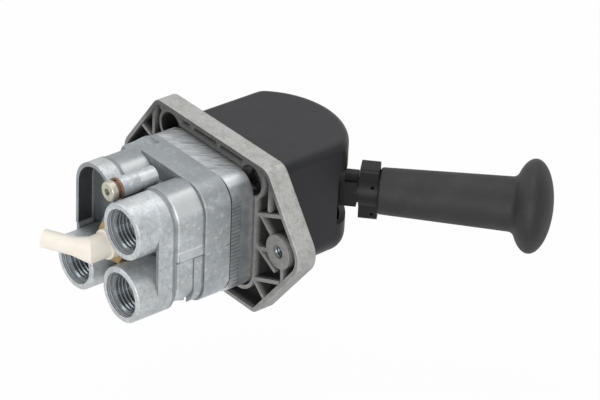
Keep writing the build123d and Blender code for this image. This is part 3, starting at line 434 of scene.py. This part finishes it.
class BRAKEVALVE_OT_housing(bpy.types.Operator):
    """Finish the port housing as a die casting with flow marks and dull patches, and painted shade and
    highlights
    """

    bl_idname = "brakevalve.housing"
    bl_label = "Port Housing"

    def execute(self, context):
        light, self.dark = tuple(own("finishes").housing), tuple(own("finishes").housing_patches_and_shade)
        metal = Finish("die_casting", light, 0.45, metallic=0.55)
        self.station, self.height = metal.axis("Y"), metal.axis("Z")
        self.cast_skin_and_front_shade(metal)
        self.side_ledge(metal)
        self.shade_and_highlight_faces(metal)
        self.hooded_corner(metal)
        self.port_mouths(metal)
        coat_node("port_housing", metal)
        return {"FINISHED"}

    def cast_skin_and_front_shade(self, metal):
        """Flow marks, dull and bright patches and grain, with painted shade towards the flange."""
        front_shade_span = (-44 * MM, -26 * MM)
        warm_stain, bright = shade(190, 189, 178), shade(226, 230, 232)
        flow = metal.noise(7 * MM, 5, 0.6, metal.stretched((1, 0.45, 1)))
        patches = metal.noise(2.2 * MM, 4, 0.65)
        grains = metal.noise(0.35 * MM, 2, 0.6)
        self.speckle = metal.noise(1.1 * MM, 3, 0.6)
        # Painted shade, darker towards the flange
        metal.tint(self.station.ramp(*front_shade_span) * 0.42, self.dark)
        metal.tint(metal.noise(9 * MM, 2).ramp(0.48, 0.70) * 0.30, warm_stain)
        metal.tint(flow.ramp(0.38, 0.68) * 0.46, self.dark)
        metal.tint(patches.ramp(0.50, 0.72) * 0.28, self.dark)
        metal.tint((1 - patches.ramp(0.30, 0.48)) * 0.42, bright)
        metal.tint(self.speckle.ramp(0.52, 0.74) * 0.30, darker(self.dark, 0.75))
        metal.tint(grains.ramp(0.60, 0.80) * 0.20, bright)
        metal.gloss(flow * 0.20 + grains * 0.12 + 0.30)
        metal.bump(grains, 0.05 * MM)
        metal.bump(patches, 0.14 * MM, 0.7)

    def side_ledge(self, metal):
        """The ledge across the trunk's sides, with painted highlights on its slope and crest and painted
        shade at its foot, and painted shade along the lip's edge.
        """
        trunk = (-41.0 * MM, -29.6 * MM)
        shaded_lip_edge = (-30.2 * MM, -29.3 * MM)
        shaded_foot = (-0.7 * MM, -0.1 * MM)
        painted_slope = (0.1 * MM, 3.1 * MM)
        crest = (3.2 * MM, 3.7 * MM)
        side = metal.facing("X")
        beside = side * self.station.between(*trunk, 0.3 * MM)
        # Painted highlights on the ledge's slope and crest
        metal.tint(beside * self.height.between(*painted_slope, 0.4 * MM) * 0.25, shade(210, 214, 217))
        metal.tint(beside * self.height.between(*crest, 0.2 * MM) * 0.60, shade(222, 226, 228))
        # Painted shade at the ledge's foot
        metal.tint(beside * self.height.between(*shaded_foot, 0.3 * MM) * 0.75, darker(self.dark, 0.40))
        # Painted shade along the lip's edge
        metal.tint(side * self.station.between(*shaded_lip_edge, 0.2 * MM) * 0.55, darker(self.dark, 0.45))

    def shade_and_highlight_faces(self, metal):
        """Painted shade on the tops, rear faces, slope and corners, and a painted highlight on the round edge
        along the trunk.
        """
        behind_ports = (-56.0 * MM, -55.0 * MM)
        painted_slope = (-42.3 * MM, -40.9 * MM)
        trunk_start = (-42.5 * MM, -41.0 * MM)
        trunk_top = (-40.9 * MM, -29.8 * MM)
        trunk_round = (-40.6 * MM, -30.0 * MM)
        rear_of_lip = (-33.0 * MM, -32.0 * MM)
        vent = metal.round_about(vent_axis, 4.0 * MM, 0.4 * MM) * (1 - self.station.ramp(*rear_of_lip))
        # Painted shade on the upward faces, more on the trunk's top
        shaded_tops = metal.normal_part("Z").ramp(0.2, 0.8) * self.station.ramp(*trunk_start) * (1 - vent)
        metal.tint(shaded_tops * 0.55, darker(self.dark, 0.80))
        metal.tint(shaded_tops * self.station.between(*trunk_top, 0.3 * MM) * 0.30, darker(self.dark, 0.70))
        # Painted shade on the rear faces
        shaded_rear_face = (metal.normal_part("Y") * -1).ramp(0.5, 0.9) * self.station.ramp(*behind_ports)
        metal.tint(shaded_rear_face * 0.60, darker(self.dark, 0.55))
        # Painted highlight on the trunk's round upper edge
        highlit_round_edge = metal.normal_part("X").between(0.45, 0.90, 0.2) * metal.normal_part("Z").ramp(0.2, 0.5)
        metal.tint(highlit_round_edge * self.station.between(*trunk_round, 0.6 * MM) * 0.45, shade(234, 236, 236))
        # Painted shade on the slope and in the corners
        metal.tint(self.station.between(*painted_slope, 0.3 * MM) * (1 - vent) * 0.60, darker(self.dark, 0.45))
        metal.tint(metal.crevice(1.4 * MM) * 0.45, darker(self.dark, 0.35))

    def hooded_corner(self, metal):
        """Painted shade inside the hooded corner: a round top on two straight legs."""
        depth = (-56 * MM, -43 * MM)
        across = (-22.9 * MM, -3.6 * MM)
        up = (-4 * MM, port_up)
        arched = metal.round_about(hooded_axis, 9.6 * MM, 0.6 * MM)
        legs = metal.axis("X").between(*across, 0.5 * MM) * self.height.between(*up, 0.2 * MM)
        inside = self.station.between(*depth, 0.5 * MM) * arched.larger(legs)
        # Painted shade, deepest in the corner's hollow and on its inner side walls
        metal.tint(inside * metal.crevice(14 * MM, 0.70, 0.97) * 0.70, darker(self.dark, 0.16))
        metal.tint(inside * metal.normal_part("X").ramp(0.5, 0.9) * 0.80, darker(self.dark, 0.12))

    def port_mouths(self, metal):
        """The turned mouths of the ports, with painted shade inside and turned tool rings painted as bright
        glints.
        """
        mouth_radius = 8.35 * MM
        ring_spacing = 0.75 * MM
        glint_rings = self.station.waves(ring_spacing, self.speckle * 2).ramp(-0.4, 0.9)
        for axis in port_axes.values():
            bored = metal.round_about(axis, mouth_radius, 0.1 * MM)
            # Painted shade inside the bore, and painted glints on its tool rings
            metal.tint(bored * 0.60, darker(self.dark, 0.60))
            metal.tint(bored * glint_rings * 0.80, shade(238, 242, 244))


class BRAKEVALVE_OT_flange(bpy.types.Operator):
    """Finish the flange as a blasted casting with dark pockets, partly their coat and partly painted shade"""

    bl_idname = "brakevalve.flange"
    bl_label = "Flange"

    def execute(self, context):
        light, dark = tuple(own("finishes").flange), tuple(own("finishes").flange_pockets_and_shade)
        metal = Finish("blasted_casting", light, 0.55, metallic=0.35)
        metal.shine(0.25)
        self.blasted_skin(metal)
        self.pockets(metal, dark)
        coat_node("flange", metal)
        return {"FINISHED"}

    def blasted_skin(self, metal):
        """Grey blotches, specks of both kinds and grain."""
        blotches = metal.noise(4 * MM, 5, 0.6)
        grains = metal.noise(0.4 * MM, 3, 0.6)
        speckle = metal.noise(1.0 * MM, 3, 0.65)
        metal.tint(blotches.ramp(0.40, 0.70) * 0.40, shade(136, 134, 129))
        metal.tint(speckle.ramp(0.50, 0.72) * 0.38, shade(118, 116, 112))
        metal.tint((1 - speckle.ramp(0.28, 0.46)) * 0.35, shade(206, 204, 199))
        metal.tint(grains.ramp(0.55, 0.75) * 0.22, shade(205, 203, 198))
        metal.gloss(blotches * 0.16 + grains * 0.12 + 0.40)
        metal.bump(grains, 0.06 * MM)
        metal.bump(metal.noise(1.6 * MM, 3), 0.10 * MM, 0.6)

    def pockets(self, metal, dark):
        """Painted shade on the rear faces, stronger towards the top rail; painted shade near black in the
        lobe holes; dark pockets, partly their coat and partly painted shade; painted shade on the underside.
        """
        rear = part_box("flange")[0].y
        below_rim = (rear + 0.5 * MM, rear + 3.0 * MM)
        top_rail = (14 * MM, 24 * MM)
        shaded_rear_face = (metal.normal_part("Y") * -1).ramp(0.5, 0.9)
        sunk = metal.axis("Y").ramp(*below_rim)
        # Painted shade on the rear faces, deeper in the pockets, partly their dark coat
        metal.tint(shaded_rear_face * (sunk * 0.35 + 0.45), shade(78, 76, 74))
        metal.tint(shaded_rear_face * metal.axis("Z").ramp(*top_rail) * 0.75, shade(60, 59, 57))
        # Painted shade filling the lobe holes
        for axis in lobe_axes:
            metal.tint(metal.round_about(axis, 5.6 * MM, 0.2 * MM) * 0.88, darker(dark, 0.15))
        # Painted shade in the pockets' corners and hollows
        metal.tint(metal.crevice(20 * MM, 0.92, 1.0) * sunk * 0.45, darker(dark, 0.60))
        metal.tint(metal.crevice(16 * MM, 0.80, 0.98) * (sunk * 0.55 + 0.30), darker(dark, 0.38))
        # Painted shade on the down-facing faces
        metal.tint((metal.normal_part("Z") * -1).ramp(0.2, 0.8) * 0.50, shade(96, 94, 91))


class BRAKEVALVE_OT_block(bpy.types.Operator):
    """Finish the valve body as milled, with arcs across its top, ripples on its sides, painted shade on its
    sides and in corners, and a painted reflection on its top near the flange
    """

    bl_idname = "brakevalve.block"
    bl_label = "Valve Body"

    def execute(self, context):
        light, dark = tuple(own("finishes").block), tuple(own("finishes").block_marks_and_shade)
        metal = Finish("milled_block", light, 0.30, metallic=0.55)
        cutter_centre = (-304 * MM, 250 * MM, 0)
        change_along_cut = 0.06
        rippled_length = (-17.7 * MM, -13.9 * MM)
        rippled_height = (-19 * MM, 14 * MM)
        flange_end = (-8.5 * MM, -1 * MM)
        top, side = abs(metal.normal_part("Z")).ramp(0.93, 0.99), metal.facing("X")
        station, height = metal.axis("Y"), metal.axis("Z")
        swept = metal.add("ShaderNodeVectorMath", {"operation": "DISTANCE"}, metal.place, cutter_centre)
        along = metal.add("ShaderNodeCombineXYZ", {}, swept, metal.axis("X") * change_along_cut, 0)
        cuts = metal.noise(0.28 * MM, 3, 0.7, along)
        wide_cuts = metal.noise(1.1 * MM, 2, 0.5, along)
        ripples = height.waves(1.5 * MM, metal.noise(3 * MM, 2) * 1.5) * 0.5 + 0.5
        rippled = side * station.between(*rippled_length, 0.3 * MM) * height.between(*rippled_height, 2 * MM)
        grains = metal.noise(0.35 * MM, 2, 0.6)
        patches = metal.noise(3 * MM, 4, 0.6)
        metal.tint(cuts.ramp(0.44, 0.62) * top * 0.85, darker(dark, 0.85))
        metal.tint(wide_cuts.ramp(0.50, 0.72) * top * 0.25, dark)
        # Painted reflection: the top darkens towards the flange, as if mirroring the flange's dark inside
        metal.tint((station + cuts * 7 * MM).ramp(*flange_end) * top * 0.85, darker(dark, 0.30))
        # Painted shade on the side faces
        metal.tint(side * (patches.ramp(0.30, 0.65) * 0.20 + 0.50), darker(dark, 0.80))
        metal.tint(rippled * ripples * 0.40, darker(dark, 0.55))
        # Painted shade in the corners
        metal.tint(metal.crevice(2 * MM) * 0.5, darker(dark, 0.4))
        metal.gloss(patches * 0.14 + cuts * top * 0.12 + grains * 0.06 + 0.24)
        metal.bump(cuts * top, 0.02 * MM)
        metal.bump(ripples * rippled, 0.16 * MM)
        metal.bump(grains, 0.02 * MM)
        coat_node("valve_body", metal)
        return {"FINISHED"}


class BRAKEVALVE_OT_cover(bpy.types.Operator):
    """Finish the hood in satin paint over a fine cast grain"""

    bl_idname = "brakevalve.cover"
    bl_label = "Hood"

    def execute(self, context):
        paint = tuple(own("finishes").cover)
        cover = Finish("cover_paint", paint, 0.42)
        cover.shine(0.34)
        grains = cover.noise(0.45 * MM, 2, 0.6)
        waves = cover.noise(5 * MM, 3)
        cover.tint(waves.ramp(0.35, 0.70) * 0.20, darker(paint, 0.75))
        cover.tint(grains.ramp(0.58, 0.78) * 0.18, shade(58, 58, 61))
        cover.gloss(waves * 0.10 + grains * 0.14 + 0.34)
        cover.bump(grains, 0.05 * MM)
        coat_node("hood", cover)
        return {"FINISHED"}


def grained_finish(name, colour, grain, depth, roughness, rub, shine=0.34):
    """A dull finish with its grain, and rubbed patches that are a little paler."""
    dull = Finish(name, colour, roughness)
    dull.shine(shine)
    grains = dull.noise(grain, 2, 0.6)
    rubbed = dull.noise(9 * MM, 4)
    dull.tint(rubbed.ramp(0.45, 0.75) * 0.25, rub)
    dull.tint(grains.ramp(0.56, 0.76) * 0.22, rub)
    dull.gloss(rubbed * -0.12 + grains * 0.10 + (roughness + 0.02))
    dull.bump(grains, depth)
    return dull


class BRAKEVALVE_OT_handle(bpy.types.Operator):
    """Finish the lever, its collar and its moulded grip"""

    bl_idname = "brakevalve.handle"
    bl_label = "Lever and Grip"

    def execute(self, context):
        colours = own("finishes")
        black, worn_black = tuple(colours.lever), shade(26, 26, 28)
        charcoal, worn_charcoal = tuple(colours.grip), shade(62, 62, 64)
        lever = grained_finish("lever_black", black, 0.4 * MM, 0.03 * MM, 0.52, worn_black, shine=0.28)
        grip = grained_finish("grip_moulding", charcoal, 0.75 * MM, 0.12 * MM, 0.62, worn_charcoal)
        for node in ("lever_arm", "release_collar", "slot_shield"):
            coat_node(node, lever)
        coat_node("grip", grip)
        return {"FINISHED"}


def turned_metal(name, colour, roughness, stain_and_shade, metallic=0.9):
    """A bright turned or plated metal with stains and fine tool marks, and painted shade in its corners."""
    metal = Finish(name, colour, roughness, metallic)
    stains = metal.noise(1.4 * MM, 4, 0.6)
    marks = metal.noise(0.18 * MM, 2)
    metal.tint(stains.ramp(0.42, 0.70) * 0.45, stain_and_shade)
    # Painted shade in corners and grooves
    metal.tint(metal.crevice(1.0 * MM) * 0.5, darker(stain_and_shade, 0.3))
    metal.gloss(stains * 0.20 + marks * 0.08 + (roughness - 0.12))
    metal.bump(marks, 0.015 * MM)
    return metal


class BRAKEVALVE_OT_exhaust(bpy.types.Operator):
    """Finish the ivory elbow and the brass spigot behind it"""

    bl_idname = "brakevalve.exhaust"
    bl_label = "Exhaust"

    def execute(self, context):
        colours = own("finishes")
        ivory = tuple(colours.elbow)
        elbow = Finish("ivory_moulding", ivory, 0.42)
        cloud = elbow.noise(6 * MM, 3)
        grains = elbow.noise(0.5 * MM, 2)
        elbow.tint(cloud.ramp(0.35, 0.70) * 0.35, shade(230, 216, 200))
        # Painted shade in the elbow's creases
        elbow.tint(elbow.crevice(1.2 * MM, 0.25, 0.75) * 0.30, shade(150, 132, 108))
        elbow.gloss(cloud * 0.12 + grains * 0.08 + 0.34)
        elbow.bump(grains, 0.02 * MM)
        brass = turned_metal("turned_brass", tuple(colours.brass), 0.34, shade(120, 92, 58))
        coat_node("exhaust_elbow", elbow)
        coat_node("exhaust_spigot", brass)
        return {"FINISHED"}


class BRAKEVALVE_OT_fasteners(bpy.types.Operator):
    """Finish the vent screw, the washers and the blackened hood screws"""

    bl_idname = "brakevalve.fasteners"
    bl_label = "Fasteners"

    def execute(self, context):
        colours = own("finishes")
        zinc = turned_metal("zinc_plate", tuple(colours.steel), 0.46, shade(112, 106, 90), 0.65)
        copper = turned_metal("copper_washer", tuple(colours.copper), 0.40, shade(96, 66, 52), 0.6)
        washer = turned_metal("spring_washer_steel", shade(112, 92, 78), 0.40, shade(66, 46, 38))
        black, worn_black = shade(24, 24, 25), shade(60, 60, 62)
        oxide = grained_finish("blackened_screw", black, 0.3 * MM, 0.02 * MM, 0.5, worn_black)
        coat_node("vent_screw", zinc)
        coat_node("vent_washer", copper)
        coat_node("spring_washer", washer)
        coat_node("clamp_screws", zinc)
        coat_node("hood_screws", oxide)
        return {"FINISHED"}


class BRAKEVALVE_OT_inner_parts(bpy.types.Operator):
    """Finish the pieces that stay hidden inside, each by its material slot"""

    bl_idname = "brakevalve.inner_parts"
    bl_label = "Inner Parts"

    def execute(self, context):
        colours = own("finishes")
        brass, steel, block = tuple(colours.brass), tuple(colours.steel), tuple(colours.block)
        wire, bronze = shade(118, 118, 122), shade(150, 122, 86)
        rubber, rubbed = shade(30, 30, 32), shade(52, 52, 54)
        acetal, scuffed = shade(218, 218, 212), shade(232, 232, 228)
        recipes = {
            "brass": (turned_metal, "inner_brass", brass, 0.32, shade(120, 92, 58)),
            "zinc_steel": (turned_metal, "inner_zinc", steel, 0.34, shade(132, 124, 104)),
            "spring_steel": (turned_metal, "spring_steel", wire, 0.34, shade(72, 70, 70)),
            "machined": (turned_metal, "turned_block", block, 0.30, shade(130, 134, 138)),
            "bronze": (turned_metal, "sintered_bronze", bronze, 0.5, shade(92, 70, 46), 0.8),
            "seal_rubber": (grained_finish, "seal_rubber", rubber, 0.4 * MM, 0.02 * MM, 0.6, rubbed),
            "white_plastic": (grained_finish, "white_acetal", acetal, 0.5 * MM, 0.02 * MM, 0.42, scuffed),
        }
        made = {}
        for part in frame["record"]["subparts"]:
            node, slot = part["node"], part["material_slot"]
            if node in outer_nodes:
                continue
            if slot not in recipes:
                raise RuntimeError(f"no finish for {node}, slot {slot}")
            if slot not in made:
                make, *values = recipes[slot]
                made[slot] = make(*values)
            coat_node(node, made[slot])
        return {"FINISHED"}


def link_piece(bm, name, body, finish):
    """Make an object of a bmesh, with a finish, and let it ride on a body."""
    bmesh.ops.recalc_face_normals(bm, faces=bm.faces)
    mesh = bpy.data.meshes.new(name)
    bm.to_mesh(mesh)
    bm.free()
    for polygon in mesh.polygons:
        polygon.use_smooth = False
    piece = bpy.data.objects.new(name, mesh)
    bpy.context.collection.objects.link(piece)
    piece.data.materials.append(finish.material)
    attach(piece, body)


def thread_sizes(kind):
    """The start, length, radius, depth, pitch and steps of one kind of thread."""
    names = ("start", "length", "radius", "depth", "pitch", "steps")
    return [getattr(own("threads"), f"{kind}_{name}") for name in names]


def inner_thread(axis, start, length, radius, depth, pitch, steps):
    """A helical ridge inside a bore along the valve axis, from a station towards the front."""
    bm = bmesh.new()
    overlap = 0.02 * MM
    wall = radius + overlap
    crest = radius - depth
    profile = [(wall, 0.0), (crest, 0.40), (crest, 0.55), (wall, 0.95)]
    x, z = axis
    bm.faces.new([bm.verts.new((x + reach, start + share * pitch, z)) for reach, share in profile])
    turns = length / pitch - 1
    count = round(turns * steps)
    bmesh.ops.spin(
        bm,
        geom=bm.verts[:] + bm.edges[:] + bm.faces[:],
        cent=(x, start, z),
        axis=(0, 1, 0),
        dvec=(0, turns * pitch / count, 0),
        angle=2 * math.pi * turns,
        steps=count,
        use_merge=False,
        use_duplicate=False,
    )
    open_edges = [edge for edge in bm.edges if edge.is_boundary]
    bmesh.ops.holes_fill(bm, edges=open_edges, sides=0)
    return bm


def thread_finish(name):
    """Cut metal, bright on the crests, with painted shade in the roots and deep in the bore."""
    colour = tuple(own("finishes").thread)
    metal = Finish(name, colour, 0.24, metallic=0.95)
    marks = metal.noise(0.6 * MM, 3)
    metal.tint(marks.ramp(0.42, 0.70) * 0.40, darker(colour, 0.45))
    # Painted shade in the thread's roots
    metal.tint(metal.crevice(0.9 * MM, 0.50, 0.97) * 0.92, darker(colour, 0.04))
    # Painted shade deep in the bore
    metal.tint(metal.crevice(9 * MM, 0.05, 0.50) * 0.6, darker(colour, 0.10))
    metal.gloss(marks * 0.18 + 0.14)
    metal.bump(marks, 0.01 * MM)
    return metal


class BRAKEVALVE_OT_port_threads(bpy.types.Operator):
    """Cut a thread in each of the three ports"""

    bl_idname = "brakevalve.port_threads"
    bl_label = "Port Threads"

    def execute(self, context):
        finish = thread_finish("port_thread_metal")
        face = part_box("port_housing")[0].y
        start, *sizes = thread_sizes("port")
        for name, axis in port_axes.items():
            bm = inner_thread(axis, face + start, *sizes)
            link_piece(bm, name + "_port_thread", "root", finish)
        return {"FINISHED"}


class BRAKEVALVE_OT_fixing_threads(bpy.types.Operator):
    """Cut a thread in each of the flange's two fixing holes"""

    bl_idname = "brakevalve.fixing_threads"
    bl_label = "Fixing Threads"

    def execute(self, context):
        finish = thread_finish("fixing_thread_metal")
        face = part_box("flange")[0].y
        start, *sizes = thread_sizes("fixing")
        for name, axis in fixing_axes.items():
            bm = inner_thread(axis, face + start, *sizes)
            link_piece(bm, name + "_fixing_thread", "root", finish)
        return {"FINISHED"}


class BRAKEVALVE_PT_panel(bpy.types.Panel):
    """Lists the sizes, the colours and the operators"""

    bl_idname = "BRAKEVALVE_PT_panel"
    bl_label = "Brake Valve"
    bl_space_type = "VIEW_3D"
    bl_region_type = "UI"
    bl_category = "Brake Valve"

    def draw(self, context):
        for name, kind in groups.items():
            box = self.layout.box()
            box.label(text=name.capitalize())
            for setting in kind.__annotations__:
                box.prop(own(name), setting)
        for operator in operators:
            self.layout.operator(operator.bl_idname)


groups = {"stage": StageSettings, "finishes": FinishSettings, "threads": ThreadSettings}
operators = (
    BRAKEVALVE_OT_stage,
    BRAKEVALVE_OT_housing,
    BRAKEVALVE_OT_flange,
    BRAKEVALVE_OT_block,
    BRAKEVALVE_OT_cover,
    BRAKEVALVE_OT_handle,
    BRAKEVALVE_OT_exhaust,
    BRAKEVALVE_OT_fasteners,
    BRAKEVALVE_OT_inner_parts,
    BRAKEVALVE_OT_port_threads,
    BRAKEVALVE_OT_fixing_threads,
)
classes = (*groups.values(), *operators, BRAKEVALVE_PT_panel)


def register():
    for kind in classes:
        bpy.utils.register_class(kind)
    for name, kind in groups.items():
        setattr(bpy.types.Scene, "brake_valve_" + name, bpy.props.PointerProperty(type=kind))


def unregister():
    for name in groups:
        delattr(bpy.types.Scene, "brake_valve_" + name)
    for kind in reversed(classes):
        bpy.utils.unregister_class(kind)


def main():
    """Build everything in order."""
    register()
    bpy.ops.brakevalve.stage()
    bpy.ops.brakevalve.housing()
    bpy.ops.brakevalve.flange()
    bpy.ops.brakevalve.block()
    bpy.ops.brakevalve.cover()
    bpy.ops.brakevalve.handle()
    bpy.ops.brakevalve.exhaust()
    bpy.ops.brakevalve.fasteners()
    bpy.ops.brakevalve.inner_parts()
    bpy.ops.brakevalve.port_threads()
    bpy.ops.brakevalve.fixing_threads()


if __name__ == "__main__":
    main()
